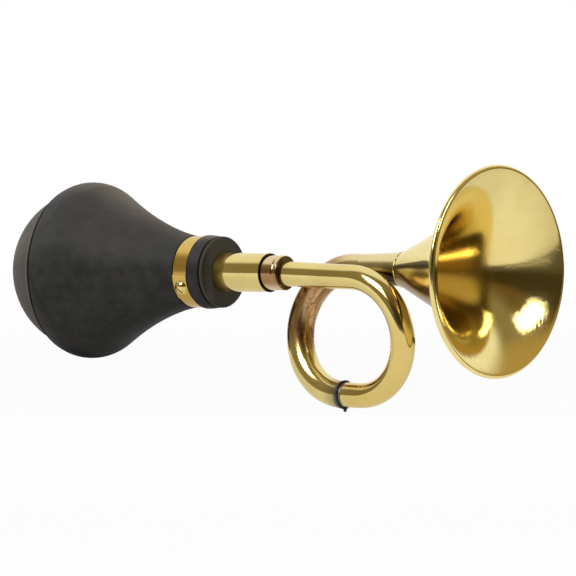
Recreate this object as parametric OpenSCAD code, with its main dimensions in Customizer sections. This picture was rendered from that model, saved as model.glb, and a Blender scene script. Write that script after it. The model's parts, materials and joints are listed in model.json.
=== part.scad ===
// Bulb horn with one hanging loop of pipe, in millimetres.
// +X runs along the horn from the bulb to the bell, +Z is up, and the loop hangs down.
// The origin is on the axis, in the middle of the bare length of the barrel.

/* [Bulb] */
// Widest radius of the rubber bulb
bulb_r = 44.3; // [41:0.1:50]
// Thickness of the rubber
bulb_wall = 3.2; // [2.6:0.1:4]
// Radius of the rounded crown, seen from the side
crown_r = 17; // [14:0.5:20]
// Length from the band back to the widest place
flare_len = 67.1; // [56:0.5:80]
// Fall of the flare for each unit of length where it leaves the crown
flare_steep = 0.6; // [0.45:0.01:0.65]
// Fall of the flare for each unit of length where it meets the band
neck_steep = 0.17; // [0.05:0.01:0.25]
// Length from the widest place back to the seam
seam_len = 7.9; // [6:0.1:10]
// How far the domed end sits inside the edge of the body
seam_step = 2.6; // [1:0.1:3]
// Open seam between body and domed end
seam_gap = 0.3; // [0.2:0.05:0.5]
// Height of the domed end
dome_h = 32; // [26:0.2:38]
// Length of the skirt of the domed end inside the body
skirt_len = 6; // [4:0.5:7]
// Clearance round that skirt
skirt_gap = 0.3; // [0.2:0.05:0.6]

/* [Neck] */
// Radius of the rubber neck under the band
neck_r = 17.3; // [16.5:0.1:19]
// Radius of the bore in the neck, which holds the bush
neck_bore_r = 14.2; // [13:0.1:15]
// How far the lip stands above the neck beside the band
lip_rise = 1.2; // [0.8:0.1:1.6]
// How far the lip falls towards its front edge
lip_fall = 0.7; // [0:0.1:1]
// Width of the lip in front of the band
lip_w = 7.8; // [6:0.1:10]
// Rounding of the front edge of the lip
lip_round = 0.8; // [0.5:0.1:1.2]
// Radius of the bush's flange
flange_r = 17.9; // [16.5:0.1:19]
// Thickness of the bush's flange
flange_t = 2.2; // [1.6:0.1:3]
// Rounding of the flange's front edge
flange_round = 0.8; // [0.3:0.1:1.2]

/* [Band] */
// Width of the brass strip round the neck
band_w = 8.5; // [7.8:0.1:11]
// Thickness of the strip
band_t = 0.6; // [0.4:0.05:0.8]
// Length of the overlapped end of the strip
band_lap = 13; // [10:0.5:18]
// Angle of the screw below the horizontal, on the side away from +Y
screw_down = 25; // [0:1:60]
// Radius of the screw's shank
screw_r = 1.6; // [1.2:0.1:2]
// Length of the screw under its head
screw_len = 7.5; // [6:0.1:7.9]
// Radius of the screw's round head
screw_head_r = 3.7; // [3:0.1:3.9]
// Height of the screw's round head
screw_head_h = 2.3; // [1.6:0.1:2.8]
// Width of the screwdriver slot
screw_slot_w = 1; // [0.7:0.1:1.2]
// Depth of the screwdriver slot
screw_slot_d = 1.1; // [0.7:0.1:1.4]
// Angle at which the screwdriver slot stands
screw_slot_turn = 35; // [0:5:90]
// Clearance round the screw's shank in the strip
screw_gap = 0.15; // [0.1:0.05:0.3]

/* [Barrel] */
// Radius of the barrel
barrel_r = 9.75; // [9.2:0.05:10.5]
// Wall of the barrel where it is turned down
barrel_wall = 0.6; // [0.5:0.05:0.8]
// Length of barrel between the bush and the ferrule
barrel_show = 30; // [24:0.5:40]
// Length of barrel that stands out behind the bush
barrel_tail = 4; // [2:0.5:8]
// How far the barrel is turned down where the bush grips it
barrel_step = 0.3; // [0.15:0.05:0.4]

/* [Ferrule] */
// Radius of the ferrule's bead
ferrule_r = 8.75; // [8.4:0.05:9.1]
// Length of the ferrule in front of the barrel
ferrule_len = 10.1; // [9:0.1:14]
// Rounding of the bead's back edge
bead_round = 0.6; // [0.3:0.05:0.8]
// Width of the cove in front of the bead
cove_w = 2.4; // [1.6:0.1:3]
// Depth of that cove
cove_d = 0.4; // [0.2:0.05:0.6]
// Width of the narrow land in front of the cove
land_w = 0.3; // [0.2:0.05:0.6]
// Rounding of the ferrule's front edge
nose_round = 0.5; // [0.3:0.1:0.8]
// Length of the ferrule's spigot inside the barrel
spigot_len = 10; // [8:0.5:14]
// Running clearance between spigot and barrel
spigot_fit = 0.06; // [0.03:0.01:0.1]
// Open joint between barrel and ferrule
barrel_gap = 0.2; // [0.1:0.05:0.4]

/* [Reed] */
// Radius of the plug that holds the reed in the ferrule
plug_r = 6; // [5.6:0.1:6.6]
// Length of the plug
plug_len = 12; // [10:0.5:16]
// Radius of the half tube under the tongue
shallot_r = 4.5; // [4.2:0.1:5]
// Radius of the air way through the half tube and plug
air_r = 2.4; // [2:0.1:2.6]
// Depth of the air way's centre below the axis
air_drop = 1.2; // [1.1:0.1:1.4]
// Length of the half tube behind the plug
shallot_len = 32; // [28:0.5:35]
// Thickness of the half tube's closed end
shallot_end = 2; // [1.2:0.1:3]
// Height of the flat above the axis
flat_z = 1.5; // [1.4:0.05:2]
// Width of the slot in the flat
slot_w = 3.6; // [2.8:0.1:4.2]
// Length of the clamped root of the tongue
root_len = 7.5; // [6.5:0.1:9]
// Thickness of the tongue
tongue_t = 0.4; // [0.3:0.05:0.6]
// Width of the tongue
tongue_w = 6; // [5:0.1:7]
// How far the tongue stops short of the half tube's end
tongue_short = 1; // [0.5:0.1:2]
// Angle at which the tongue stands off the flat
tongue_lift = 2.4; // [1.8:0.1:3]
// Thickness of the plate over the tongue's root
plate_t = 1; // [0.8:0.1:1.4]
// Width of the plate over the tongue's root
plate_w = 8.2; // [7.8:0.1:8.6]
// Distance of the two small screws from the middle
clamp_screw_y = 3; // [2.8:0.05:3.1]
// Radius of the small screws
clamp_screw_r = 0.6; // [0.4:0.05:0.7]
// Clearance round the small screws in the plate and the tongue
clamp_screw_gap = 0.1; // [0.05:0.05:0.15]
// Depth of the small screws in the half tube
clamp_screw_len = 2.4; // [1.6:0.1:3]
// Radius of the small screws' heads
clamp_head_r = 1; // [0.8:0.05:1.1]
// Height of the small screws' heads
clamp_head_h = 0.9; // [0.6:0.1:1.2]

/* [Pipe] */
// Radius of the pipe
pipe_r = 6.25; // [5.8:0.05:6.5]
// Wall of the pipe
pipe_wall = 0.8; // [0.6:0.05:1]
// Length of pipe inside the ferrule
pipe_seat = 8; // [6:0.5:8.5]
// Length of straight pipe between the ferrule and the first bend
inlet_run = 42.5; // [36:0.5:52]
// Angle at which the pipe and bell lean down from the barrel's axis
front_lean = 1.6; // [0:0.1:3]
// Depth of the loop, from the inlet to the bottom run
loop_drop = 59.3; // [54:0.1:70]
// Length of straight pipe at the bottom of the loop
bottom_run = 10.1; // [9:0.1:18]
// Radius of the outlet pipe, which is a little larger than the inlet pipe
outlet_r = 6.85; // [6.5:0.05:7.2]
// Gap between the two pipes where they cross
crossing_gap = 3.4; // [2:0.1:5]
// How far the outlet lies above the inlet
bell_lift = 4.3; // [1:0.1:6]
// Length of straight pipe after the second bend
outlet_run = 5.2; // [3:0.1:12]
// Length of the widening pipe that ends at the throat ring
taper_len = 24.8; // [22:0.1:32]
// Length of the joint's sleeve inside the straight pipe
sleeve_front = 6; // [3:0.5:9]
// Length of the joint's sleeve inside the bent pipe
sleeve_back = 2.5; // [1.5:0.1:2.6]
// Wall of the sleeve
sleeve_wall = 0.6; // [0.4:0.05:0.8]
// Clearance round the sleeve
sleeve_fit = 0.15; // [0.12:0.01:0.25]
// Radius of the binding wire round the joint
bind_wire_r = 0.55; // [0.45:0.05:0.6]
// Length of the binding wire's twisted tail
bind_tail = 1; // [0.7:0.1:2]
// Radius of that tail
bind_tail_r = 0.85; // [0.6:0.05:1]
// Width of the solder on each side of the joint
solder_w = 1.3; // [0.8:0.1:2.5]
// Thickness of the solder
solder_t = 0.3; // [0.2:0.05:0.5]

/* [Bell] */
// Radius of the throat, under its ring
throat_r = 8.7; // [8:0.1:9.2]
// Radius of the bead of the throat ring
throat_bead_r = 0.5; // [0.35:0.05:0.9]
// Length of the bell, from the throat ring to the rim
bell_len = 58.8; // [50:0.5:75]
// Radius of the mouth, to the middle of the rim
mouth_r = 51.8; // [44:0.1:60]
// Angle at which the bell turns back up from the leaning pipe
bell_turn = 1.1; // [0:0.1:2]
// Rise of the flare for each unit of length at the throat
bell_steep = 0.46; // [0.3:0.01:0.5]
// How late the flare opens out
bell_power = 6; // [4:0.1:7]
// Thickness of the bell's sheet
bell_wall = 0.7; // [0.5:0.05:1]
// Radius of the wire inside the rolled rim
rim_wire_r = 0.5; // [0.4:0.05:0.8]
// Clearance round that wire
rim_fit = 0.25; // [0.2:0.05:0.35]
// Angle of the slit that the rolled rim leaves open at the back
rim_slit = 50; // [30:5:80]

/* [Hidden] */
$fn = 72;
// Number of straight steps along the bell, in a long curve and in a small rounding
bell_steps = 40;
curve_steps = 22;
round_steps = 5;
// Small overlap that keeps cuts clean
cut = 1;

// Places along the axis, from the barrel back to the bulb's end
barrel_front_x = barrel_show / 2;
bush_x = -barrel_show / 2;
lip_x = bush_x - flange_t;
band_front_x = lip_x - lip_w;
band_back_x = band_front_x - band_w;
band_mid_x = (band_front_x + band_back_x) / 2;
widest_x = band_back_x - flare_len;
seam_x = widest_x - seam_len;
barrel_back_x = band_back_x - barrel_tail;

// Radii of the bulb
crown_mid_r = bulb_r - crown_r;
crown_in_r = crown_r - bulb_wall;
shoulder_a = atan(flare_steep);
seam_r = crown_mid_r + sqrt(pow(crown_r, 2) - pow(seam_len, 2));
seam_in_r = crown_mid_r + sqrt(pow(crown_in_r, 2) - pow(seam_len, 2));
band_r = neck_r + band_t;
dome_edge_r = seam_r - seam_step;
dome_r = (pow(dome_edge_r, 2) + pow(dome_h, 2)) / (2 * dome_h);
dome_x = seam_x - seam_gap;
dome_mid_x = dome_x - dome_h + dome_r;
skirt_r = seam_in_r - skirt_gap;

// Places in the ferrule and the reed
grip_r = barrel_r - barrel_step;
barrel_in_r = grip_r - barrel_wall;
ferrule_front_x = barrel_front_x + ferrule_len;
spigot_r = barrel_in_r - spigot_fit;
pipe_in_r = pipe_r - pipe_wall;
ferrule_bore_r = pipe_in_r - pipe_wall;
pipe_start_x = ferrule_front_x - pipe_seat;
plug_front_x = barrel_front_x;
plug_back_x = plug_front_x - plug_len;
shallot_back_x = plug_back_x - shallot_len;
shallot_front_x = plug_back_x + plug_len / 2;
root_x = plug_back_x - root_len;
tongue_tip_x = shallot_back_x + tongue_short;
clamp_x = plug_back_x - root_len / 2;
plate_z = flat_z + tongue_t;

// Places in the loop, whose two bends lie in planes that lean to opposite sides
lean_x = barrel_front_x - spigot_len / 2;
bell_y = pipe_r + outlet_r + crossing_gap;
bottom_y = bell_y / 2;
outlet_in_r = outlet_r - pipe_wall;
first_bend_x = ferrule_front_x + inlet_run;
first_r = sqrt(pow(bottom_y, 2) + pow(loop_drop, 2)) / 2;
first_tilt = atan2(bottom_y, loop_drop);
joint_x = first_bend_x - bottom_run;
second_rise = loop_drop + bell_lift;
second_r = sqrt(pow(bell_y - bottom_y, 2) + pow(second_rise, 2)) / 2;
second_tilt = -atan2(bell_y - bottom_y, second_rise);
bind_mid_r = pipe_r + bind_wire_r;
sleeve_r = pipe_in_r - sleeve_fit;
sleeve_back_r = outlet_in_r - sleeve_fit;

// Places along the outlet and the bell, whose back edge just clears the end of the pipe
throat_d = outlet_run + taper_len;
throat_gap = throat_r * sin(bell_turn);
rim_in_r = rim_wire_r + rim_fit;
rim_bead_r = rim_in_r + bell_wall;
mouth_a = atan(bell_power * (mouth_r - throat_r) / bell_len / 2);
bell_span = bell_len + rim_in_r * sin(mouth_a);
bell_rise = mouth_r - rim_in_r * cos(mouth_a) - throat_r;
bell_line = bell_steep * bell_span / bell_rise;

// Points of an arc round [r, x], where angle 0 points along r and 90 points along x
function arc(mid, size, from, to, steps = round_steps) = [
    for (i = [0:steps])
        let (a = from + (to - from) * i / steps)
        [mid[0] + size * cos(a), mid[1] + size * sin(a)]
];

// A curve between two radii with a given fall at each end, for t from 0 to 1
function eased(r0, r1, fall0, fall1, span, t) =
    r0 * (2 * pow(t, 3) - 3 * pow(t, 2) + 1) + r1 * (3 * pow(t, 2) - 2 * pow(t, 3))
    - fall0 * span * (pow(t, 3) - 2 * pow(t, 2) + t) - fall1 * span * (pow(t, 3) - pow(t, 2));

// Radius of the outside of the bell, and its rise, at a share s of its length
function bell_r(s) = throat_r + bell_rise * (bell_line * s + (1 - bell_line) * pow(s, bell_power));
function bell_slope(s) =
    bell_rise / bell_span * (bell_line + (1 - bell_line) * bell_power * pow(s, bell_power - 1));

// Point of the bell's sheet at a share s of its length, at a depth below its outside
function bell_point(s, depth) =
    let (a = atan(bell_slope(s)))
    [bell_r(s) - depth * cos(a), bell_span * s + depth * sin(a)];

// Points along the flare of the bulb, from the crown to the neck
function flare_points(round_r, end_r) =
    let (start_x = widest_x + round_r * sin(shoulder_a), start_r = crown_mid_r + round_r * cos(shoulder_a))
    let (span = band_back_x - start_x)
    [for (i = [0:curve_steps])
        let (t = i / curve_steps)
        [eased(start_r, end_r, flare_steep, neck_steep, span, t), start_x + span * t]];

// Points round the crown of the bulb, from the seam to the flare
function crown_points(round_r) =
    arc([crown_mid_r, widest_x], round_r, -asin(seam_len / round_r), shoulder_a, curve_steps);

// Points listed from last to first
function reversed(list) = [for (i = [len(list) - 1:-1:0]) list[i]];

// Turns an outline of [r, x] points about the horn's axis
module turned() {
    rotate([0, 90, 0]) rotate_extrude() children();
}

// A rod along +X
module rod(r, from, to) {
    translate([from, 0, 0]) rotate([0, 90, 0]) cylinder(r = r, h = to - from);
}

// Leans children down with the pipe and bell
module leaned() {
    translate([lean_x, 0, 0]) rotate([0, front_lean, 0]) translate([-lean_x, 0, 0]) children();
}

// Moves children to the bottom run of the loop
module on_bottom() {
    leaned() translate([0, bottom_y, -loop_drop]) children();
}

// Moves children to the band's screw, with +Z pointing out of the neck
module at_screw() {
    translate([band_mid_x, 0, 0]) rotate([90 + screw_down, 0, 0]) children();
}

// Rubber body of the bulb, with its neck and lip
module bulb_body() {
    lip_r = neck_r + lip_rise;
    outside = concat(
        crown_points(crown_r), flare_points(crown_r, band_r),
        [[neck_r, band_back_x], [neck_r, band_front_x], [lip_r, band_front_x]],
        arc([lip_r - lip_fall - lip_round, lip_x - lip_round], lip_round, 0, 90));
    inside = concat(
        crown_points(crown_in_r), flare_points(crown_in_r, neck_bore_r), [[neck_bore_r, lip_x]]);
    color("#3b3a39") difference() {
        turned() polygon(concat(outside, reversed(inside)));
        at_screw() cylinder(r = screw_r, h = neck_r + cut);
    }
}

// Domed rubber end, with a skirt that stands inside the body
module bulb_end() {
    color("#5a5651") turned() union() {
        difference() {
            translate([0, dome_mid_x]) circle(r = dome_r);
            translate([0, dome_mid_x]) circle(r = dome_r - bulb_wall);
            translate([-2 * dome_r, dome_mid_x - 2 * dome_r]) square([2 * dome_r, 4 * dome_r]);
            translate([-dome_r, dome_x]) square([3 * dome_r, 2 * dome_r]);
        }
        translate([skirt_r - bulb_wall, dome_x - bulb_wall])
            square([bulb_wall, bulb_wall + seam_gap + skirt_len]);
    }
}

// Rubber bush between the neck and the barrel
module neck_bush() {
    outline = concat(
        [[grip_r, band_back_x], [neck_bore_r, band_back_x], [neck_bore_r, lip_x], [flange_r, lip_x]],
        arc([flange_r - flange_round, bush_x - flange_round], flange_round, 0, 90),
        [[grip_r, bush_x]]);
    color("#302e2c") difference() {
        turned() polygon(outline);
        at_screw() cylinder(r = screw_r, h = neck_bore_r + cut);
    }
}

// Brass strip round the neck, with one end lapped over the other under the screw
module neck_band() {
    lap_a = band_lap / band_r * 180 / PI;
    lap_r = band_r + band_t;
    color("#b8963f") difference() {
        at_screw() rotate([0, 90, 0]) translate([0, 0, -band_w / 2]) linear_extrude(height = band_w)
            difference() {
                union() {
                    circle(r = band_r);
                    intersection() {
                        circle(r = lap_r);
                        polygon([[0, 0], 2 * lap_r * [-cos(lap_a / 2), -sin(lap_a / 2)],
                            2 * lap_r * [-cos(lap_a / 2), sin(lap_a / 2)]]);
                    }
                }
                circle(r = neck_r);
            }
        at_screw() cylinder(r = screw_r + screw_gap, h = band_r + cut + band_t);
    }
}

// Slotted round head screw that holds the lapped ends down
module band_screw() {
    seat_r = neck_r + 2 * band_t;
    ball_r = (pow(screw_head_r, 2) + pow(screw_head_h, 2)) / (2 * screw_head_h);
    color("#c9a64e") at_screw() difference() {
        union() {
            translate([0, 0, seat_r - screw_len]) cylinder(r = screw_r, h = screw_len + screw_head_h / 2);
            translate([0, 0, seat_r]) rotate_extrude() intersection() {
                translate([0, screw_head_h - ball_r]) circle(r = ball_r);
                square([screw_head_r, screw_head_h]);
            }
        }
        rotate([0, 0, screw_slot_turn])
            translate([-screw_slot_w / 2, -2 * screw_head_r, seat_r + screw_head_h - screw_slot_d])
                cube([screw_slot_w, 4 * screw_head_r, 2 * screw_slot_d]);
    }
}

// Brass barrel, which carries the bulb and pulls off the ferrule
module barrel() {
    color("#cdb257") difference() {
        union() {
            rod(barrel_r, bush_x, barrel_front_x);
            rod(grip_r, barrel_back_x, barrel_front_x);
        }
        rod(barrel_in_r, barrel_back_x - cut, barrel_front_x + cut);
    }
}

// Bronze ferrule between the barrel and the pipe
module ferrule() {
    back_x = barrel_front_x + barrel_gap;
    spigot_x = barrel_front_x - spigot_len;
    land_x = ferrule_front_x - nose_round - land_w;
    cove_r = (pow(cove_w, 2) / 4 + pow(cove_d, 2)) / (2 * cove_d);
    cove_a = asin(cove_w / 2 / cove_r);
    outline = concat(
        [[ferrule_bore_r, ferrule_front_x], [ferrule_bore_r, plug_front_x], [plug_r, plug_front_x],
         [plug_r, spigot_x], [spigot_r, spigot_x], [spigot_r, back_x]],
        arc([ferrule_r - bead_round, back_x + bead_round], bead_round, -90, 0),
        arc([ferrule_r - cove_d + cove_r, land_x - cove_w / 2], cove_r, 180 + cove_a, 180 - cove_a),
        arc([ferrule_r - nose_round, ferrule_front_x - nose_round], nose_round, 0, 90));
    color("#9a6f45") difference() {
        turned() polygon(outline);
        leaned() rod(pipe_r, pipe_start_x, ferrule_front_x + cut);
    }
}

// Brass plug that holds the reed in the ferrule
module reed_plug() {
    color("#b99a48") difference() {
        rod(plug_r, plug_back_x, plug_front_x);
        rod(shallot_r, plug_back_x - cut, shallot_front_x);
        translate([0, 0, -air_drop]) rod(air_r, plug_back_x - cut, plug_front_x + cut);
    }
}

// Half tube with a flat face, a slot and a closed end
module reed_shallot() {
    side = 4 * shallot_r;
    color("#c4a550") difference() {
        rod(shallot_r, shallot_back_x, shallot_front_x);
        translate([shallot_back_x - cut, -side / 2, flat_z])
            cube([plug_back_x - shallot_back_x + cut, side, side]);
        translate([0, 0, -air_drop]) rod(air_r, shallot_back_x + shallot_end, shallot_front_x + cut);
        translate([shallot_back_x + shallot_end, -slot_w / 2, -air_drop])
            cube([root_x - shallot_back_x - shallot_end, slot_w, side]);
        clamp_screw_holes(clamp_screw_r);
    }
}

// Holes for the two small screws, from their tips up past the plate
module clamp_screw_holes(r) {
    for (side = [-1, 1])
        translate([clamp_x, side * clamp_screw_y, flat_z - clamp_screw_len])
            cylinder(r = r, h = clamp_screw_len + tongue_t + plate_t + cut);
}

// Springy brass tongue, clamped at its root and standing off the flat at its tip
module reed_tongue() {
    rise = (root_x - tongue_tip_x) * tan(tongue_lift);
    outline = [
        [plug_back_x, flat_z], [plug_back_x, plate_z], [root_x, plate_z],
        [tongue_tip_x, plate_z + rise], [tongue_tip_x, flat_z + rise], [root_x, flat_z]
    ];
    color("#d8bb63") difference() {
        union() {
            rotate([90, 0, 0]) translate([0, 0, -tongue_w / 2])
                linear_extrude(height = tongue_w) polygon(outline);
            translate([root_x, -plate_w / 2, flat_z]) cube([root_len, plate_w, tongue_t]);
        }
        clamp_screw_holes(clamp_screw_r + clamp_screw_gap);
    }
}

// Plate that clamps the root of the tongue
module tongue_plate() {
    color("#a98b3c") difference() {
        translate([root_x, -plate_w / 2, plate_z]) cube([root_len, plate_w, plate_t]);
        clamp_screw_holes(clamp_screw_r + clamp_screw_gap);
    }
}

// The two small screws of the plate
module tongue_screws() {
    top = plate_z + plate_t;
    color("#8f8f8a") for (side = [-1, 1])
        translate([clamp_x, side * clamp_screw_y, flat_z - clamp_screw_len]) {
            cylinder(r = clamp_screw_r, h = top - flat_z + clamp_screw_len);
            translate([0, 0, top - flat_z + clamp_screw_len]) cylinder(r = clamp_head_r, h = clamp_head_h);
        }
}

// Half turn of tube in the plane of local X and Y, bulging towards local +Y
module half_turn(turn_r, r) {
    rotate_extrude(angle = 180) translate([turn_r, 0]) difference() {
        circle(r = r);
        circle(r = r - pipe_wall);
    }
}

// Moves children to the bend that bulges towards +X, from the inlet down to the bottom run
module on_first_bend() {
    leaned() translate([first_bend_x, bottom_y / 2, -loop_drop / 2])
        rotate([first_tilt, 0, 0]) rotate([0, -90, -90]) children();
}

// Moves children to the bend that bulges towards -X, from the bottom run up to the outlet
module on_second_bend() {
    leaned() translate([joint_x, (bottom_y + bell_y) / 2, (bell_lift - loop_drop) / 2])
        rotate([second_tilt, 0, 0]) rotate([0, -90, 90]) children();
}

// Turns an outline of [r, length] points about the straight line that leaves the start of a half turn
module leg(turn_r) {
    translate([turn_r, 0, 0]) rotate([90, 0, 0]) rotate_extrude() children();
}

// Turns an outline about the bell's axis, where lengths count from the throat
module on_bell() {
    on_second_bend() translate([second_r, 0, 0]) rotate([90, 0, 0]) translate([0, 0, throat_d + throat_gap])
        rotate([0, bell_turn, 0]) rotate_extrude() children();
}

// Outline of a plain length of inlet pipe
module plain_pipe(run) {
    translate([pipe_in_r, 0]) square([pipe_wall, run]);
}

// Inlet pipe, from the ferrule round the front of the loop to the soldered joint
module inlet_pipe() {
    color("#cbb055") on_first_bend() union() {
        half_turn(first_r, pipe_r);
        leg(first_r) plain_pipe(inlet_run + pipe_seat);
        rotate([0, 180, 0]) leg(first_r) plain_pipe(bottom_run);
    }
}

// Outlet pipe, from the soldered joint up round the back of the loop to the throat
module outlet_pipe() {
    color("#a9824a") on_second_bend() union() {
        half_turn(second_r, outlet_r);
        leg(second_r) polygon([
            [outlet_in_r, 0], [outlet_r, 0], [outlet_r, outlet_run], [throat_r, throat_d],
            [throat_r - pipe_wall, throat_d], [outlet_in_r, outlet_run]]);
    }
}

// Stepped sleeve inside both pipes at the soldered joint
module joint_sleeve() {
    color("#b89a52") on_bottom() difference() {
        union() {
            rod(sleeve_r, joint_x, joint_x + sleeve_front);
            rod(sleeve_back_r, joint_x - sleeve_back, joint_x);
        }
        rod(sleeve_r - sleeve_wall, joint_x - sleeve_back - cut, joint_x + sleeve_front + cut);
    }
}

// Binding wire in the corner between the two pipes, with its twisted tail underneath
module joint_wire() {
    color("#2f2a26") on_bottom() translate([joint_x + bind_wire_r, 0, 0]) union() {
        rotate([0, 90, 0]) rotate_extrude() translate([bind_mid_r, 0]) circle(r = bind_wire_r);
        translate([bind_tail_r - bind_wire_r, 0, -bind_mid_r - bind_tail]) {
            cylinder(r = bind_tail_r, h = bind_tail);
            sphere(r = bind_tail_r);
        }
    }
}

// Solder drawn out along the pipes on both sides of the joint
module joint_solder() {
    draw_a = solder_w / second_r * 180 / PI;
    wire_w = 2 * bind_wire_r;
    color("#9d9a92") union() {
        on_bottom() translate([joint_x, 0, 0]) turned() polygon([
            [pipe_r, wire_w], [pipe_r + solder_t, wire_w],
            [pipe_r + solder_t / 2, wire_w + solder_w / 2], [pipe_r, wire_w + solder_w]]);
        on_second_bend() rotate([0, 0, 180 - draw_a]) rotate_extrude(angle = draw_a)
            translate([second_r, 0]) difference() {
                circle(r = outlet_r + solder_t / 2);
                circle(r = outlet_r);
            }
    }
}

// Bead ring at the throat, over the joint between pipe and bell
module throat_ring() {
    seat = bell_point(1 / bell_steps, 0);
    color("#d0b45a") on_bell() difference() {
        translate([throat_r, 0]) circle(r = throat_bead_r);
        translate([0, -2 * throat_bead_r]) square([throat_r, 4 * throat_bead_r]);
        polygon([[0, 0], [throat_r, 0], seat, [0, seat[1]]]);
    }
}

// Flared bell with an edge rolled outwards round a wire
module bell() {
    outside = [for (i = [0:bell_steps]) bell_point(i / bell_steps, 0)];
    inside = [for (i = [bell_steps:-1:0]) bell_point(i / bell_steps, bell_wall)];
    color("#d2b04a") on_bell() difference() {
        union() {
            polygon(concat(outside, inside));
            translate([mouth_r, bell_len]) circle(r = rim_bead_r);
        }
        translate([mouth_r, bell_len]) circle(r = rim_in_r);
        translate([mouth_r, bell_len]) rotate([0, 0, -90 - rim_slit])
            polygon([[0, 0], [2 * rim_bead_r, 0], 2 * rim_bead_r * [cos(rim_slit), sin(rim_slit)]]);
    }
}

// Wire inside the rolled rim
module rim_wire() {
    color("#8c7a4a") on_bell() translate([mouth_r, bell_len]) circle(r = rim_wire_r);
}

bulb_body();
bulb_end();
neck_bush();
neck_band();
band_screw();
barrel();
ferrule();
reed_plug();
reed_shallot();
reed_tongue();
tongue_plate();
tongue_screws();
inlet_pipe();
outlet_pipe();
joint_sleeve();
joint_wire();
joint_solder();
throat_ring();
bell();
rim_wire();
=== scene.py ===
"""Looks of the bulb horn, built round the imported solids: rubber, brass, studio and camera."""
import json
import math

import bmesh
import bpy
from mathutils import Matrix, Quaternion, Vector, noise


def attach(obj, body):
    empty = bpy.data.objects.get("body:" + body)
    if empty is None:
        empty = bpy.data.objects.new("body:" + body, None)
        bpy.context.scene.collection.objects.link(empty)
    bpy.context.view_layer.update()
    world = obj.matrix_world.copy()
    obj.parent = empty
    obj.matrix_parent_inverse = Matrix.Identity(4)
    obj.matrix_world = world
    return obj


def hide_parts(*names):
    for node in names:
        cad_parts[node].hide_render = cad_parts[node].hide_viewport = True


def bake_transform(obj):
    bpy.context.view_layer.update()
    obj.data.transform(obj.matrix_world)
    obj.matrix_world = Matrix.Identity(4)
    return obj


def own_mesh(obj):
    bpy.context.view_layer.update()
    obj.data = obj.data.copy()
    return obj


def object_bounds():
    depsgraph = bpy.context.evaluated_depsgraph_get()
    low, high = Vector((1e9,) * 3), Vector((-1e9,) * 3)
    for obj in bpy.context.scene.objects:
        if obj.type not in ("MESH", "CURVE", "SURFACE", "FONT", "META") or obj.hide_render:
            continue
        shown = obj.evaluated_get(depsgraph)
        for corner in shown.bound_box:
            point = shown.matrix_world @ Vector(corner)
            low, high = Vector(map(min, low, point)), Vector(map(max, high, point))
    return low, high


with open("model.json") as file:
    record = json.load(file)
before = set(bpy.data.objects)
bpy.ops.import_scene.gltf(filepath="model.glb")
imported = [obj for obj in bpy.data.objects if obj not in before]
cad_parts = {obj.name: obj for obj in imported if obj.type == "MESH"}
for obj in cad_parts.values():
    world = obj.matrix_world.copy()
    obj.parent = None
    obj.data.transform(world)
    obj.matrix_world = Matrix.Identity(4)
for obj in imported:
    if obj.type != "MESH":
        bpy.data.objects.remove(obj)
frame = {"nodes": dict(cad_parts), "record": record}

cad_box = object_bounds()
MM = 0.001

# The horn's measures in millimetres, as in the part's source
# Bulb: crown, flare, seam and domed end
BULB_R, CROWN_R, BULB_WALL = 44.3, 17.0, 3.2
FLARE_STEEP, NECK_STEEP = 0.60, 0.17
WIDEST_X, SEAM_X, DOME_X = -100.6, -108.5, -108.8
SEAM_STEP, DOME_H, SKIRT_LEN, SKIRT_GAP = 2.6, 32.0, 6.0, 0.3
# Neck with its band and lip, and the bush in it
NECK_R, NECK_BORE_R, BAND_R = 17.3, 14.2, 17.9
BAND_BACK_X, BAND_FRONT_X, LIP_X = -33.5, -25.0, -17.2
LIP_RISE, LIP_FALL, LIP_ROUND, LIP_CORNER = 1.2, 0.7, 0.8, 0.5
FLANGE_R, FLANGE_ROUND, BUSH_X, GRIP_R = 17.9, 0.8, -15.0, 9.45
# Front ends of the barrel and ferrule, and the bell with its rolled rim
BARREL_X, FERRULE_X, THROAT_X = 15.0, 25.1, 87.7
THROAT_R, MOUTH_R, BELL_LEN, BELL_WALL = 8.7, 51.8, 58.8, 0.7
BELL_STEEP, BELL_POWER = 0.46, 6
RIM_IN_R, RIM_SLIT = 0.75, -90
BELL_START, BELL_YAW, BELL_PITCH = (87.749, 16.5, 2.129), 0.14, 0.509
# Tongue of the reed
TONGUE_ROOT_X, TONGUE_Z, TONGUE_BEND = -4.5, 1.7, 8.0

# Steps that curves are drawn with, the angle in degrees from which an edge is sharp, the radius under which a point
# counts as on the axis, and how quickly the rubber's unevenness changes along it
RING_STEPS, BELL_RING_STEPS, BELL_STEPS, LIP_STEPS, TONGUE_STEPS = 160, 192, 96, 8, 8
SHARP_ANGLE, ON_AXIS, WOBBLE_SCALE = 40, 1e-6, 0.045

# Inputs and outputs of the Mix node for colours, which share their names with others
MIX_SHARE, MIX_FIRST, MIX_SECOND, MIX_RESULT = 0, 6, 7, 2


class Wire:
    """An output of a shader node. Arithmetic on it adds Math nodes."""

    def __init__(self, paint, socket):
        self.paint, self.socket = paint, socket

    def _math(self, operation, first, second):
        return self.paint.node("ShaderNodeMath", {"operation": operation}, {0: first, 1: second})

    def __add__(self, other):
        return self._math("ADD", self, other)

    def __radd__(self, other):
        return self._math("ADD", other, self)

    def __sub__(self, other):
        return self._math("SUBTRACT", self, other)

    def __rsub__(self, other):
        return self._math("SUBTRACT", other, self)

    def __mul__(self, other):
        return self._math("MULTIPLY", self, other)

    def __rmul__(self, other):
        return self._math("MULTIPLY", other, self)

    def __pow__(self, other):
        return self._math("POWER", self, other)

    def most(self, other):
        return self._math("MAXIMUM", self, other)

    def __abs__(self):
        return self._math("ABSOLUTE", self, 0.0)


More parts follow.
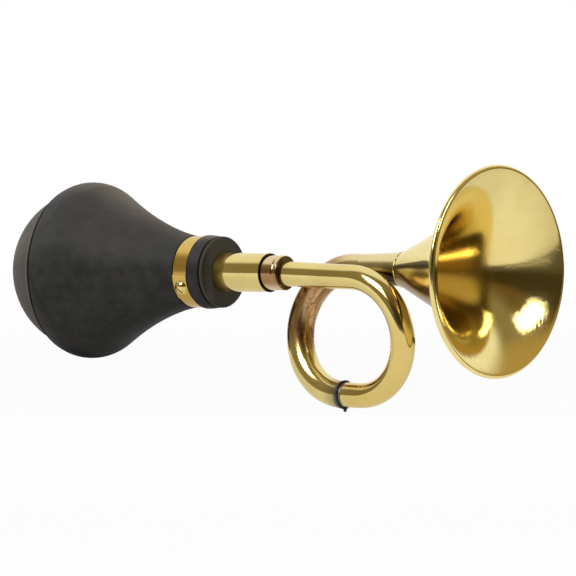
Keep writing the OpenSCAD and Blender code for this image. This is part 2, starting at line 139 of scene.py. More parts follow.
class Paint:
    """A node tree under construction, for a material or the studio's surround."""

    def __init__(self, tree):
        self.tree = tree
        tree.nodes.clear()

    def node(self, kind, settings=None, sockets=None, out=0):
        """Adds a node with its settings and the values or links of its sockets, and gives one of its outputs."""
        made = self.tree.nodes.new(kind)
        for key, value in (settings or {}).items():
            setattr(made, key, value)
        for key, value in (sockets or {}).items():
            if isinstance(value, Wire):
                self.tree.links.new(value.socket, made.inputs[key])
            elif isinstance(value, tuple):
                made.inputs[key].default_value = (*value, 1.0)
            else:
                made.inputs[key].default_value = value
        return Wire(self, made.outputs[out]) if made.outputs else None

    def place(self):
        """Place on the piece, in metres."""
        return self.node("ShaderNodeTexCoord", out="Object")

    def facing(self):
        """The three numbers of the direction in which the surface faces."""
        return self.parts(self.node("ShaderNodeTexCoord", out="Normal"))

    def parts(self, vector):
        """The three numbers of a vector."""
        first = self.node("ShaderNodeSeparateXYZ", sockets={0: vector})
        return [Wire(self, socket) for socket in first.socket.node.outputs]

    def join(self, x, y, z):
        """A vector of three numbers."""
        return self.node("ShaderNodeCombineXYZ", sockets={0: x, 1: y, 2: z})

    def rays(self, *names):
        """Sum of the kinds of ray named."""
        kinds = self.node("ShaderNodeLightPath").socket.node.outputs
        return sum(Wire(self, kinds[name]) for name in names)

    def grain(self, vector, scale, detail=3.0, rough=0.5, warp=0.0):
        """Cloudy noise from 0 to 1."""
        return self.node("ShaderNodeTexNoise", sockets={
            "Vector": vector, "Scale": scale, "Detail": detail, "Roughness": rough, "Distortion": warp})

    def step(self, value, low, high, to_low=0.0, to_high=1.0):
        """A soft step from one value to another."""
        return self.node("ShaderNodeMapRange", {"interpolation_type": "SMOOTHSTEP"}, {
            "Value": value, "From Min": low, "From Max": high, "To Min": to_low, "To Max": to_high})

    def near(self, value, middle, width):
        """1 close to a place in millimetres, falling to 0 at a distance."""
        return self.step(abs(value - middle * MM), 0.4 * width * MM, width * MM, 1.0, 0.0)

    def mix(self, share, first, second):
        """A colour between two colours."""
        return self.node("ShaderNodeMix", {"data_type": "RGBA"},
                         {MIX_SHARE: share, MIX_FIRST: first, MIX_SECOND: second}, out=MIX_RESULT)

    def bump(self, height, strength, depth, under=None):
        """A fine relief, on top of another where there is one."""
        sockets = {"Height": height, "Strength": strength, "Distance": depth}
        if under:
            sockets["Normal"] = under
        return self.node("ShaderNodeBump", sockets=sockets)

    def surface(self, dark_lines_and_shade=None, **sockets):
        """Ends the tree with a surface shader, mixed towards black matt for dark lines and painted shade where there
        are some.
        """
        shader = self.node("ShaderNodeBsdfPrincipled", sockets={k.replace("_", " "): v for k, v in sockets.items()})
        if dark_lines_and_shade:
            black = self.node("ShaderNodeBsdfDiffuse", sockets={"Color": SHADE})
            shader = self.node("ShaderNodeMixShader", sockets={0: dark_lines_and_shade, 1: shader, 2: black})
        self.node("ShaderNodeOutputMaterial", sockets={"Surface": shader})


def new_material(name):
    """A new empty material and the paint that fills it."""
    material = bpy.data.materials.new(name)
    material.use_nodes = True
    return material, Paint(material.node_tree)


def times(colour, share, tint=(1.0, 1.0, 1.0)):
    """A colour times a number, and times a tint where one is given."""
    return tuple(share * c * t for c, t in zip(colour, tint))


def put(name, data):
    """Adds an object to the scene."""
    made = bpy.data.objects.new(name, data)
    bpy.context.scene.collection.objects.link(made)
    return made


# Where the rubber changes along the horn, in metres: the start and the end of each change
DUST_AND_SHEEN_BEGINS, DUST_AND_SHEEN_THINS, TOP_LIGHT_THINS = (-0.108, -0.090), (-0.0175, -0.017), (-0.070, -0.045)
SLOPE_BEGINS, SLOPE_ENDS, CROWN_ENDS = (-0.095, -0.050), (-0.026, -0.024), (-0.090, -0.078)

SHADE = (0.007, 0.007, 0.0065)
SCUFF_GREY, SPECK_GREY = (0.2, 0.19, 0.17), (0.19, 0.18, 0.17)
SLOPE_TINT, RUST_TINT = (0.43, 0.37, 0.31), (1.10, 0.98, 0.90)


def moulded_rubber(name, dark, pale, brown, brown_share, painted_highlights=(), grooves=()):
    """Matt old rubber: cloudy patches, a brown bloom of dust and painted sheen on top, a painted lighter top, painted
    shade underneath, mould grain, scuffs, lines of painted highlight and dark grooves.
    """
    material, p = new_material(name)
    at = p.place()
    x, y, z = p.parts(at)
    facing_front, facing_back, facing_up = p.facing()
    cloud = p.grain(at, 62, 5, 0.62, 0.4)
    patch = p.grain(at, 17, 3, 0.5)
    speck = p.grain(at, 420, 3, 0.6)
    mottle = p.step(0.65 * cloud + 0.35 * p.grain(at, 190, 4, 0.65), 0.36, 0.64)
    rust = p.step(p.grain(at, 34, 4, 0.6, 0.5), 0.52, 0.7)
    scuff_lines = p.grain(p.join(x * 26, y * 170, z * 170), 1, 4, 0.6, 0.2)
    scuff = p.step(scuff_lines, 0.6, 0.74) * p.step(patch, 0.45, 0.62)

    # Brown bloom on top and at the back, partly dust and partly a painted sheen, and a painted lighter top that
    # reaches lower than it
    up_and_back = 0.87 * facing_up + 0.43 * facing_back - 0.25 * facing_front
    dust_and_sheen_reach = p.step(x, *DUST_AND_SHEEN_BEGINS, 0.15, 1.0) * p.step(x, *DUST_AND_SHEEN_THINS, 1.0, 0.75)
    dust_and_sheen = p.step(up_and_back + (patch - 0.5) * 0.2 + (cloud - 0.5) * 0.15, 0.38, 0.85) * dust_and_sheen_reach * brown_share
    # Painted light from above: the upper half is painted a paler grey
    painted_top_light = p.step(facing_up + (patch - 0.5) * 0.3 + (cloud - 0.5) * 0.1, 0.02, 0.36) * brown_share
    painted_top_light = painted_top_light * p.step(x, *TOP_LIGHT_THINS, 1.0, 0.75)
    slope = p.step(x, *SLOPE_BEGINS) * p.step(x, *SLOPE_ENDS, 1.0, 0.0)
    dust_and_sheen_tone = p.mix(slope, brown, times(brown, 1.0, SLOPE_TINT))

    tone = p.mix(mottle, dark, pale)
    tone = p.mix(rust * 0.5, tone, times(pale, 1.3, RUST_TINT))
    tone = p.mix(painted_top_light * 0.38, tone, times(pale, 2.1))
    tone = p.mix(dust_and_sheen, tone, dust_and_sheen_tone)
    # Painted shade: the underside is darkened towards black
    tone = p.mix(p.step(facing_up, -1.0, -0.6, 0.9, 0.0), tone, SHADE)
    tone = p.mix(scuff * 0.2, tone, SCUFF_GREY)
    tone = p.mix(p.step(speck, 0.64, 0.8) * 0.14, tone, SPECK_GREY)
    # Painted highlights: pale lines along edges that catch the light
    for middle, width, share, colour in painted_highlights:
        tone = p.mix(p.near(x + 0.07 * abs(y), middle, width) * share, tone, colour)

    dark_lines_and_shade = None
    if grooves:
        # Dark lines along the grooves, mixed towards black matt
        dark_lines_and_shade = sum(p.near(x, middle, width) for middle, width in grooves) * p.step(facing_front, -0.95, -0.6, 0.2, 0.9)
        # Painted shade under the crown, mixed towards black matt
        dark_lines_and_shade = dark_lines_and_shade.most(p.step(facing_up, -1.0, -0.75, 0.7, 0.0) * p.step(x, *CROWN_ENDS, 1.0, 0.0))
    rough = 0.5 + 0.16 * cloud + 0.06 * speck - 0.05 * scuff
    grainy = p.bump(p.grain(at, 1500, 2, 0.6), 0.10, 0.00025)
    uneven = p.bump(p.grain(at, 130, 3, 0.5), 0.12, 0.0012, grainy)
    p.surface(dark_lines_and_shade, Base_Color=tone, Roughness=rough, Normal=uneven, Specular_IOR_Level=0.13)
    return material


# Where the brass changes, in metres: the start and the end of each change
BAND_SHADE_FADES = (-0.015, -0.004)
REED_ENDS, DULL_BEGINS = (0.0052, 0.0057), (-0.030, -0.020)
BEND_BEGINS, BEND_PALES = (0.050, 0.065), (-0.035, -0.015)
LOOP_X, LOOP_Z, LOOP_INSIDE_ENDS = 0.0575, -0.0275, (0.027, 0.034)
STRAIGHT_BEGINS, BURNT_BEGINS = (0.045, 0.060), (-0.039, -0.027)
UNDER_ENDS, THROAT_BEGINS = (-0.001, 0.007), (0.076, 0.084)
DEEP_ENDS, DEEP_LOW_ENDS = (0.111, 0.131), (0.0, 0.008)
OUTSIDE_LOW_ENDS, OUTSIDE_FADES = (-0.003, 0.010), (0.115, 0.138)
FAR_LOW_ENDS, FAR_BEGINS_X, FAR_BEGINS_Y = (-0.012, 0.0), (0.118, 0.130), (0.026, 0.036)

BRASS, BRASS_DEEP = (0.79, 0.65, 0.26), (0.72, 0.52, 0.165)
BELL_BRASS, BELL_BRASS_DEEP = (0.87, 0.72, 0.295), (0.79, 0.60, 0.20)
SATIN_BRASS, SATIN_BRASS_DEEP = (0.70, 0.47, 0.11), (0.58, 0.35, 0.07)
COPPERY_BRASS, COPPERY_BRASS_DEEP = (0.80, 0.63, 0.37), (0.62, 0.42, 0.22)
BEND_SHADE, UNPOLISHED, GRIME_AND_SHADE = (0.69, 0.50, 0.15), (0.46, 0.33, 0.06), (0.020, 0.014, 0.009)
BURNT, BURNT_DARK, BURNT_SPECK = (0.56, 0.31, 0.15), (0.27, 0.13, 0.06), (0.08, 0.05, 0.025)
STRAIGHT_PALE, UNDER_SHADE, THROAT_SHADE = (0.78, 0.66, 0.38), (0.13, 0.08, 0.035), (0.03, 0.018, 0.006)
DEEP_AMBER, DEEP_RED, OUTSIDE_SHADE = (0.50, 0.30, 0.06), (0.38, 0.19, 0.03), (0.24, 0.15, 0.04)
BELT_SHADE = (0.36, 0.20, 0.09)


class Metal:
    """A worn metal as it is put together: clouds of tarnish and hair scratches first, then what its methods add."""

    def __init__(self, name, colour, deep, rough, scratches=0.5, tarnish=0.25):
        self.material, self.paint = new_material(name)
        p, self.deep = self.paint, deep
        self.at = p.place()
        self.x, self.y, self.z = x, y, z = p.parts(self.at)
        self.cloud = p.grain(self.at, 55, 4, 0.6, 0.3)
        hair = p.grain(p.join(x * 260 + z * 2100, y * 700 - x * 300, z * 330 + y * 1500), 1, 2, 0.5, 0.1)
        self.scratch = p.step(hair, 0.64, 0.72) * scratches
        stain = p.step(p.grain(self.at, 120, 6, 0.7, 0.6), 0.55, 0.8) * tarnish
        self.tone = p.mix(p.step(self.cloud, 0.35, 0.75) * 0.5, colour, deep)
        self.tint(stain, times(deep, 0.55))
        self.rough = rough + 0.05 * self.cloud + 0.10 * self.scratch + 0.18 * stain
        self.height = p.grain(self.at, 900, 2, 0.5) * 0.5 + self.scratch * 0.6

    def tint(self, share, colour):
        """Lays a colour over the metal."""
        self.tone = self.paint.mix(share, self.tone, colour)

    def wavy(self, value, amount):
        """A place that the clouds shift to and fro, for an uneven edge."""
        return value + (self.cloud - 0.5) * amount

    def off_reed(self):
        """0 on the reed inside the barrel, 1 further out."""
        return self.paint.step((self.y ** 2 + self.z ** 2) ** 0.5, *REED_ENDS)

    def lathe_lines(self):
        """Fine rings left by turning."""
        p = self.paint
        self.height += p.grain(p.join(self.x * 5200, 0.0, 0.0), 1, 2, 0.6)
        self.rough += 0.04 * p.grain(p.join(self.x * 2100, 0.0, 0.0), 1, 2, 0.6)
        return self

    def strip_lines(self):
        """Lines round the band's strip, and painted shade on its underside."""
        p = self.paint
        self.height += p.grain(p.join(self.x * 6000, self.y * 60, self.z * 60), 1, 2, 0.6)
        # Painted shade: the strip is darkened underneath
        self.tint(p.step(self.z, *BAND_SHADE_FADES, 0.35, 0.0), times(self.deep, 0.4))
        return self

    def heat_tint_and_shade(self):
        """Burnt streaks and specks up the back of the loop, a pale straight run after it, and painted shade under that
        run, darkest by the throat.
        """
        p, x, y, z = self.paint, self.x, self.y, self.z
        reach = ((x - LOOP_X) ** 2 + (z - LOOP_Z) ** 2) ** 0.5
        inside = p.step(reach, *LOOP_INSIDE_ENDS, 1.0, 0.0)
        streak = p.grain(p.join(reach * 900, y * 620, z * 50), 1, 4, 0.6, 0.4)
        straight = p.step(x, *STRAIGHT_BEGINS)
        burnt = p.step(self.wavy(z + 0.007 * inside, 0.012), *BURNT_BEGINS) * (1.0 - straight)
        under = straight * p.step(self.wavy(z, 0.004), *UNDER_ENDS, 1.0, 0.0)
        speck = p.step(p.grain(self.at, 620, 3, 0.7), 0.57, 0.66) * burnt * inside
        self.tint(burnt * 0.88, p.mix(p.step(streak, 0.35, 0.65), BURNT, BURNT_DARK))
        self.tint(straight * 0.6, STRAIGHT_PALE)
        # Painted shade under the straight run, near black by the throat
        self.tint(under * 0.85, UNDER_SHADE)
        self.tint(under * p.step(x, *THROAT_BEGINS) * 0.9, THROAT_SHADE)
        self.tint(speck * 0.75, BURNT_SPECK)
        self.rough += 0.10 * burnt + 0.07 * straight + 0.2 * speck
        self.height = self.height * (1.0 - 0.7 * straight) + speck * 2.0
        return self

    def bell_sides(self):
        """Amber deep inside the bell, painted shade low on its outside, and pits and scratches that break its
        reflections.
        """
        p, at, x, y, z = self.paint, self.at, self.x, self.y, self.z
        inside = p.step(p.facing()[0], -0.05, 0.05)
        deep_end = inside * p.step(x, *DEEP_ENDS, 1.0, 0.0)
        deep_low = deep_end * p.step(z, *DEEP_LOW_ENDS, 1.0, 0.0)
        shaded_low_side = (1.0 - inside) * p.step(self.wavy(z, 0.012), *OUTSIDE_LOW_ENDS, 1.0, 0.0)
        shaded_low_side = shaded_low_side * p.step(x, *OUTSIDE_FADES, 1.0, 0.0)
        self.tint(deep_end * 0.42, DEEP_AMBER)
        self.tint(deep_low * 0.2, DEEP_RED)
        # Painted shade low on the bell's outside
        self.tint(shaded_low_side * 0.9, OUTSIDE_SHADE)
        self.rough += 0.015 * inside + 0.06 * deep_end + 0.05 * deep_low + 0.10 * shaded_low_side
        pitted = p.step(p.grain(at, 560, 3, 0.6), 0.5, 0.72)
        far_side = p.step(z, *FAR_LOW_ENDS, 1.0, 0.0) * p.step(x, *FAR_BEGINS_X) * p.step(y, *FAR_BEGINS_Y)
        sparkle = far_side * (pitted * 6.0 + p.step(p.grain(at, 850, 2, 0.5), 0.5, 0.66) * 7.0)
        self.height += inside * (p.grain(at, 1500, 2, 0.6) * 1.5 + pitted * 3.0 + sparkle + self.scratch * 3.0)
        return self

    def dull_end(self, end):
        """Dull beside the bush up to a place in millimetres, where no polish reached."""
        p = self.paint
        unpolished = p.step(self.wavy(self.x, 0.005), end * MM, (end + 2) * MM, 1.0, 0.0)
        unpolished = unpolished * p.step(self.x, *DULL_BEGINS) * self.off_reed()
        self.tint(unpolished * 0.85, UNPOLISHED)
        self.rough += 0.26 * unpolished
        return self

    def shaded_bend(self):
        """Painted shade: deeper gold low on the front of the loop, for its dimmer reflection there."""
        p = self.paint
        self.tint(p.step(self.z, *BEND_PALES, 0.65, 0.0) * p.step(self.x, *BEND_BEGINS), BEND_SHADE)
        return self

    def shade_belt(self, middle, width):
        """A brown band of painted shade at a height in millimetres, for the dark reflection round the ring's middle.
        """
        self.tint(self.paint.near(self.z, middle, width) * 0.95, BELT_SHADE)
        return self

    def dirt_and_shade(self, *places):
        """Dark rings where parts meet, partly dirt and partly painted shade, each at a place and of a width in
        millimetres.
        """
        off_reed = self.off_reed()
        for middle, width in places:
            # Dirt and painted shade in the ring
            grime_and_shade = self.paint.near(self.wavy(self.x, 0.0006), middle, width) * off_reed
            self.tint(grime_and_shade * 0.93, GRIME_AND_SHADE)
            self.rough += 0.3 * grime_and_shade
        return self

    def done(self):
        """Ends the material."""
        fine = self.paint.bump(self.height, 0.05, 0.00008)
        self.paint.surface(Base_Color=self.tone, Metallic=1.0, Roughness=self.rough, Normal=fine)
        return self.material


finishes = {
    "bulb_rubber": moulded_rubber(
        "bulb_rubber", dark=(0.0245, 0.0246, 0.025), pale=(0.047, 0.0472, 0.048),
        brown=(0.20, 0.172, 0.125), brown_share=0.9,
        grooves=[(SEAM_X, 2.6), (BAND_BACK_X, 0.9), (BAND_FRONT_X, 0.9), (LIP_X, 1.1)]),
    "end_rubber": moulded_rubber(
        "end_rubber", dark=(0.080, 0.073, 0.067), pale=(0.108, 0.098, 0.089),
        brown=(0.13, 0.112, 0.096), brown_share=0.5,
        painted_highlights=[(DOME_X - 0.6, 1.3, 0.4, (0.19, 0.18, 0.165))]),
    "bush_rubber": moulded_rubber(
        "bush_rubber", dark=(0.024, 0.021, 0.018), pale=(0.036, 0.032, 0.026),
        brown=(0.044, 0.037, 0.028), brown_share=0.3,
        painted_highlights=[(BUSH_X + 0.3, 0.9, 0.5, (0.10, 0.095, 0.085))], grooves=[(LIP_X, 0.8)]),
    "polished_brass": Metal("polished_brass", BRASS, BRASS_DEEP, rough=0.07).dull_end(BUSH_X + 6).shaded_bend()
        .dirt_and_shade((BARREL_X, 0.35), (FERRULE_X, 1.0), (BUSH_X, 0.5)).done(),
    "bell_brass": Metal("bell_brass", BELL_BRASS, BELL_BRASS_DEEP, rough=0.045, scratches=0.6, tarnish=0.15)
        .lathe_lines().bell_sides().dirt_and_shade((THROAT_X + 0.7, 0.5)).done(),
    "satin_brass": Metal("satin_brass", SATIN_BRASS, SATIN_BRASS_DEEP, rough=0.22, tarnish=0.1).strip_lines().done(),
    "coppery_brass": Metal("coppery_brass", COPPERY_BRASS, COPPERY_BRASS_DEEP, rough=0.07, scratches=0.7, tarnish=0.3)
        .lathe_lines().shade_belt(-1.5, 6.8).dirt_and_shade((BARREL_X, 1.0), (FERRULE_X + 0.4, 0.6)).done(),
    "tinted_brass": Metal("tinted_brass", BRASS, BRASS_DEEP, rough=0.10).heat_tint_and_shade().done(),
    "dark_wire": Metal("dark_wire", (0.05, 0.045, 0.04), (0.03, 0.026, 0.022), rough=0.4).done(),
    "solder": Metal("solder", (0.15, 0.14, 0.12), (0.10, 0.09, 0.08), rough=0.4).done(),
    "screw_steel": Metal("screw_steel", (0.45, 0.44, 0.42), (0.3, 0.28, 0.25), rough=0.3).done(),
}
for row in frame["record"]["subparts"]:
    node = frame["nodes"][row["node"]]
    node.data.materials.clear()
    node.data.materials.append(finishes[row["material_slot"]])


def arc(mid_r, mid_x, size, start, end, steps):
    """Points [r, x] of an arc, where angle 0 points outwards and 90 forwards."""
    angles = [math.radians(start + (end - start) * i / steps) for i in range(steps + 1)]
    return [(mid_r + size * math.cos(a), mid_x + size * math.sin(a)) for a in angles]


def flare(size, end_r, steps):
    """Points [r, x] of the bulb's flare, from its crown to the band."""
    lean = math.atan(FLARE_STEEP)
    start_x, start_r = WIDEST_X + size * math.sin(lean), BULB_R - CROWN_R + size * math.cos(lean)
    span, points = BAND_BACK_X - start_x, []
    for i in range(steps + 1):
        t = i / steps
        r = (start_r * (2 * t**3 - 3 * t**2 + 1) + end_r * (3 * t**2 - 2 * t**3)
             - FLARE_STEEP * span * (t**3 - 2 * t**2 + t) - NECK_STEEP * span * (t**3 - t**2))
        points.append((r, start_x + span * t))
    return points


def turned(name, outline, body, slot, *nodes, steps=RING_STEPS, wobble=0.0, where=Matrix()):
    """A closed ring, turned about the horn's axis, or one put elsewhere, from an outline of [r, x] points."""
    mesh, bm, rings = bpy.data.meshes.new(name), bmesh.new(), []
    for r, x in outline:
        if r < ON_AXIS:
            rings.append([bm.verts.new(where @ Vector((x, 0, 0)) * MM)])
            continue
        ring = []
        for i in range(steps):
            a = 2 * math.pi * i / steps
            spot = Vector((x, r * math.cos(a), r * math.sin(a)))
            push = 1 + wobble * noise.noise(spot * WOBBLE_SCALE) / r
            ring.append(bm.verts.new(where @ Vector((x, spot.y * push, spot.z * push)) * MM))
        rings.append(ring)
    closed = outline[0][0] > ON_AXIS
    pairs = list(zip(rings, rings[1:])) + ([(rings[-1], rings[0])] if closed else [])
    for first, second in pairs:
        for i in range(steps):
            j = (i + 1) % steps
            square = (first[i % len(first)], first[j % len(first)], second[j % len(second)], second[i % len(second)])
            bm.faces.new(list(dict.fromkeys(square)))
    bmesh.ops.recalc_face_normals(bm, faces=bm.faces)
    for face in bm.faces:
        face.smooth = True
    bm.to_mesh(mesh)
    bm.free()
    mesh.set_sharp_from_angle(angle=math.radians(SHARP_ANGLE))
    piece = put(name, mesh)
    piece.data.materials.append(finishes[slot])
    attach(piece, body)
    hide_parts(*nodes)
    return piece


# Rubber body: the flare and crown, on a mesh of its own, and the neck
MID_R, INNER_R = BULB_R - CROWN_R, CROWN_R - BULB_WALL
SEAM_A = math.degrees(math.asin((WIDEST_X - SEAM_X) / CROWN_R))
SEAM_IN_A = math.degrees(math.asin((WIDEST_X - SEAM_X) / INNER_R))
LEAN = math.degrees(math.atan(FLARE_STEEP))
outer = arc(MID_R, WIDEST_X, CROWN_R, -SEAM_A, LEAN, steps=26) + flare(CROWN_R, BAND_R, steps=44)[1:]
inner = arc(MID_R, WIDEST_X, INNER_R, -SEAM_IN_A, LEAN, steps=18) + flare(INNER_R, NECK_BORE_R, steps=30)[1:]
bulb_flare = turned("bulb_flare", outer + inner[::-1], "bulb", "bulb_rubber", "bulb_body", wobble=0.12)
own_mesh(bulb_flare)
LIP_R, LIP_START_X = NECK_R + LIP_RISE, BAND_FRONT_X + LIP_CORNER
LIP_SPAN = LIP_X - LIP_ROUND - LIP_START_X
neck = [(NECK_BORE_R, BAND_BACK_X), (NECK_R, BAND_BACK_X), (NECK_R, BAND_FRONT_X)]
neck += arc(LIP_R - LIP_CORNER, LIP_START_X, LIP_CORNER, -90, 0, steps=5)
for step in range(1, LIP_STEPS):
    neck.append((LIP_R - LIP_FALL * (step / LIP_STEPS)**2, LIP_START_X + LIP_SPAN * step / LIP_STEPS))
neck += arc(LIP_R - LIP_FALL - LIP_ROUND, LIP_X - LIP_ROUND, LIP_ROUND, 0, 90, steps=8) + [(NECK_BORE_R, LIP_X)]
turned("bulb_neck", neck, "bulb", "bulb_rubber", "bulb_body")

# Domed end
EDGE_R = MID_R + math.sqrt(CROWN_R**2 - (WIDEST_X - SEAM_X)**2) - SEAM_STEP
DOME_R = (EDGE_R**2 + DOME_H**2) / (2 * DOME_H)
DOME_MID_X = DOME_X - DOME_H + DOME_R
EDGE_A = math.degrees(math.asin((DOME_X - DOME_MID_X) / DOME_R))
SKIRT_R = MID_R + math.sqrt(INNER_R**2 - (WIDEST_X - SEAM_X)**2) - SKIRT_GAP
dome = arc(0, DOME_MID_X, DOME_R, -90, EDGE_A, steps=40)
dome[0] = (0.0, dome[0][1])
dome += [(SKIRT_R, DOME_X), (SKIRT_R, SEAM_X + SKIRT_LEN), (SKIRT_R - BULB_WALL, SEAM_X + SKIRT_LEN)]
hollow = arc(0, DOME_MID_X, DOME_R - BULB_WALL, EDGE_A, -90, steps=24)
hollow = [point for point in hollow if point[0] < SKIRT_R - BULB_WALL]
hollow[-1] = (0.0, hollow[-1][1])
turned("bulb_dome", dome + hollow, "bulb_cap", "end_rubber", "bulb_end", wobble=0.1)

# Bush between the neck and the barrel
bush = [(GRIP_R, BAND_BACK_X), (NECK_BORE_R, BAND_BACK_X), (NECK_BORE_R, LIP_X), (FLANGE_R, LIP_X)]
bush += arc(FLANGE_R - FLANGE_ROUND, BUSH_X - FLANGE_ROUND, FLANGE_ROUND, 0, 90, steps=6) + [(GRIP_R, BUSH_X)]
turned("neck_bushing", bush, "bulb", "bush_rubber", "neck_bush")

# Bell: a thin flared sheet with its edge rolled outwards round a wire
MOUTH_A = math.atan(BELL_POWER * (MOUTH_R - THROAT_R) / BELL_LEN / 2)
BELL_SPAN = BELL_LEN + RIM_IN_R * math.sin(MOUTH_A)
BELL_RISE = MOUTH_R - RIM_IN_R * math.cos(MOUTH_A) - THROAT_R
BELL_LINE = BELL_STEEP * BELL_SPAN / BELL_RISE


def bell_point(step, depth):
    """Point [r, x] of the bell's sheet at a step of its length, at a depth below its outside."""
    share = step / BELL_STEPS
    r = THROAT_R + BELL_RISE * (BELL_LINE * share + (1 - BELL_LINE) * share**BELL_POWER)
    lean = math.atan(BELL_RISE / BELL_SPAN * (BELL_LINE + (1 - BELL_LINE) * BELL_POWER * share**(BELL_POWER - 1)))
    return r - depth * math.cos(lean), BELL_SPAN * share + depth * math.sin(lean)


roll = 180 - math.degrees(MOUTH_A)
sheet = [bell_point(step, BELL_WALL) for step in range(BELL_STEPS)]
sheet += arc(MOUTH_R, BELL_LEN, RIM_IN_R + BELL_WALL, roll, RIM_SLIT, steps=20)
sheet += arc(MOUTH_R, BELL_LEN, RIM_IN_R, RIM_SLIT, roll, steps=12)
sheet += [bell_point(step, 0) for step in reversed(range(BELL_STEPS))]
BELL_TURN = Matrix.Rotation(math.radians(BELL_YAW), 4, "Z") @ Matrix.Rotation(math.radians(BELL_PITCH), 4, "Y")
BELL_AT = Matrix.Translation(BELL_START) @ BELL_TURN
turned("bell_flare", sheet, "horn", "bell_brass", "bell", steps=BELL_RING_STEPS, where=BELL_AT)

# Tongue of the reed, cut across in steps beyond its root, which stays under the plate
cut = bmesh.new()
cut.from_mesh(frame["nodes"]["reed_tongue"].data)
for step in range(TONGUE_STEPS + 1):
    bmesh.ops.bisect_plane(cut, geom=cut.verts[:] + cut.edges[:] + cut.faces[:], plane_no=(1, 0, 0),
                           plane_co=((TONGUE_ROOT_X - step * TONGUE_BEND / TONGUE_STEPS) * MM, 0, 0))
tongue = put("tongue_strip", bpy.data.meshes.new("tongue_strip"))
cut.to_mesh(tongue.data)
cut.free()
tongue.data.materials.append(finishes["polished_brass"])
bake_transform(tongue)
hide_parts("reed_tongue")

# Camera, far away and level with the horn
AZIMUTH, ELEVATION = math.radians(39.2), math.radians(1.0)
DISTANCE, LENS, SENSOR, CLIP_END = 9.6, 1200.0, 36.0, 200.0
AIM = Vector((0.0264, 0.0, -0.0075))
to_camera = Vector((math.sin(AZIMUTH) * math.cos(ELEVATION), -math.cos(AZIMUTH) * math.cos(ELEVATION),
                    math.sin(ELEVATION)))
camera = put("camera", bpy.data.cameras.new("camera"))
camera.location = AIM + DISTANCE * to_camera
camera.rotation_euler = (-to_camera).to_track_quat("-Z", "Y").to_euler()
camera.data.lens, camera.data.sensor_width = LENS, SENSOR
camera.data.clip_end = CLIP_END
bpy.context.scene.camera = camera

# Studio: pale floor and surround, both dark round the camera in reflections, and two soft lamps beside it
AHEAD = Vector((to_camera.x, to_camera.y, 0.0)).normalized()
RIGHT = Vector((-AHEAD.y, AHEAD.x, 0.0))
WHITE, GREY, FLOOR_GREY = (1.0, 1.0, 1.0), (0.45, 0.42, 0.36), (0.6, 0.6, 0.59)
GLOOM, DEEP_GLOOM = (0.28, 0.24, 0.15), (0.055, 0.042, 0.02)
RUSTY_GREY, RUSTY_GLOOM = (0.46, 0.35, 0.15), (0.155, 0.105, 0.048)
FLOOR_R, FLOOR_CORNERS, LAMP_FAR = 60.0, 96, 1.5

# Where the floor changes in reflections, in metres: the start and the end of each change
PALE_AHEAD, PALE_RIGHT, PALE_ENDS, FLOOR_FADES = 0.072, 0.115, (0.40, 0.46), (0.5, 5.0)
SIDE_BEGINS, PAINTED_SHADOW_BEGINS, PAINTED_SHADOW_ENDS = (0.12, 0.5), (-0.25, -0.12), (0.0, 0.09)
STRIP_FAR, STRIP_WIDTH, STRIP_BEGINS, STRIP_ENDS = 600, 150, (0.0, 0.1), (0.0, 0.12)
# The same for directions in the surround
DARK_BEGINS, CAMERA_SIDE_BEGINS = (-0.14, 0.14), (0.55, 0.85)
HIGH_BEGINS, RUST_BEGINS = (0.3, 0.48), (0.90, 1.03)


def towards(x, y):
    """How far a place or direction lies towards the camera and to the right of it."""
    return x * AHEAD.x + y * AHEAD.y, x * RIGHT.x + y * RIGHT.y


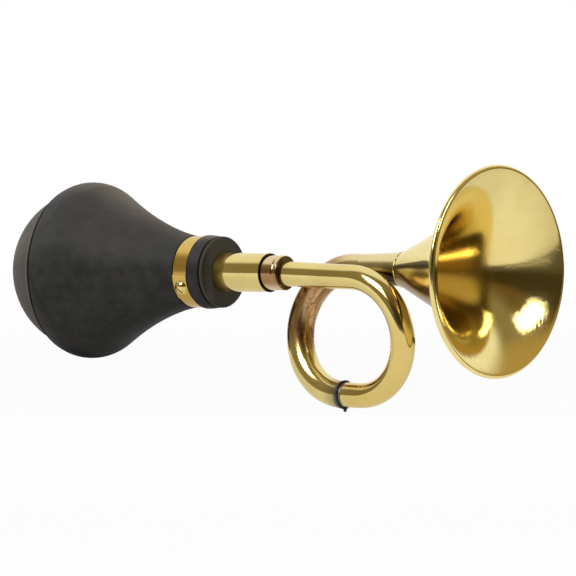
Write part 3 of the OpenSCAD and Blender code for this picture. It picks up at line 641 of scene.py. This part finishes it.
def floor():
    """A pale floor, white to the camera and dark beyond the horn in reflections, with a painted shadow under the horn
    in reflections.
    """
    material, p = new_material("pale_floor")
    x, y, _ = p.parts(p.place())
    ahead, right = towards(x, y)
    far = ((ahead - PALE_AHEAD).most(0.0) ** 2 + (right - PALE_RIGHT).most(0.0) ** 2) ** 0.5 + PALE_AHEAD
    edge = p.step(far, *PALE_ENDS)
    strip = p.near(far, STRIP_FAR, STRIP_WIDTH) * p.step(right, *STRIP_BEGINS)
    strip = strip * p.step(right - ahead, *STRIP_ENDS, 1.0, 0.0)
    side = p.step(right, *SIDE_BEGINS)
    # Painted shadow under the horn, seen only in reflections
    painted_shadow = p.step(ahead, *PAINTED_SHADOW_BEGINS) * p.step(ahead, *PAINTED_SHADOW_ENDS, 1.0, 0.0) * 0.3
    glossy = p.rays("Is Glossy Ray", "Is Transmission Ray")
    tone = p.mix(edge, p.mix(painted_shadow.most(side * 0.7), WHITE, GREY), p.mix(strip, DEEP_GLOOM, GREY))
    tone = p.mix(glossy, WHITE, tone)
    matt = p.node("ShaderNodeBsdfDiffuse", sockets={"Color": FLOOR_GREY})
    white = p.node("ShaderNodeEmission", sockets={"Color": tone, "Strength": 1.0})
    faded = p.step((x ** 2 + y ** 2) ** 0.5, *FLOOR_FADES, 0.96, 1.0)
    share = p.rays("Is Camera Ray") * faded + glossy * 0.9
    shader = p.node("ShaderNodeMixShader", sockets={0: share, 1: matt, 2: white})
    p.node("ShaderNodeOutputMaterial", sockets={"Surface": shader})
    bpy.ops.mesh.primitive_circle_add(vertices=FLOOR_CORNERS, radius=FLOOR_R, fill_type="NGON",
                                      location=(0, 0, cad_box[0][2]))
    disc = bpy.context.object
    disc.name = "floor"
    disc.data.materials.append(material)


def surround():
    """A white surround, which reflections show dark round the camera and rusty to the right of it."""
    world = bpy.data.worlds.new("studio")
    bpy.context.scene.world = world
    world.use_nodes = True
    p = Paint(world.node_tree)
    x, y, z = p.parts(p.node("ShaderNodeTexCoord", out="Generated"))
    ahead, right = towards(x, y)
    dark = p.step(ahead + 0.25 * right.most(0.0) + 0.5 - 0.61 * z, *DARK_BEGINS)
    camera_side = p.step(ahead + 0.25 * right + 0.2 * right.most(0.0), *CAMERA_SIDE_BEGINS)
    shade = p.mix(camera_side, GLOOM, p.mix(p.step(z, *HIGH_BEGINS), DEEP_GLOOM, RUSTY_GLOOM))
    shade = p.mix(p.step(right + 0.4 * z, *RUST_BEGINS), shade, RUSTY_GREY)
    tone = p.mix(dark, WHITE, shade)
    tone = p.mix(p.rays("Is Camera Ray"), tone, WHITE)
    back = p.node("ShaderNodeBackground", sockets={"Color": tone, "Strength": 1.0})
    p.node("ShaderNodeOutputWorld", sockets={"Surface": back})


def softbox(name, turn, rise, width, height, spin, glow):
    """A soft lamp at a turn to the right of the camera and a rise, in degrees, of a given brightness."""
    a, e = math.radians(turn), math.radians(rise)
    way = math.cos(e) * (math.cos(a) * AHEAD + math.sin(a) * RIGHT) + Vector((0, 0, math.sin(e)))
    lamp = bpy.data.lights.new(name, "AREA")
    lamp.shape, lamp.size, lamp.size_y = "RECTANGLE", width, height
    lamp.energy = glow * math.pi * width * height
    made = put(name, lamp)
    made.location = AIM + LAMP_FAR * way
    made.rotation_euler = ((-way).to_track_quat("-Z", "Y") @ Quaternion((0, 0, 1), math.radians(spin))).to_euler()


floor()
surround()
softbox("left_lamp", turn=-40, rise=38, width=0.78, height=0.78, spin=0, glow=5.0)
softbox("right_lamp", turn=47, rise=33, width=0.34, height=0.64, spin=-20, glow=8.0)
bpy.context.scene.view_settings.view_transform = "Standard"
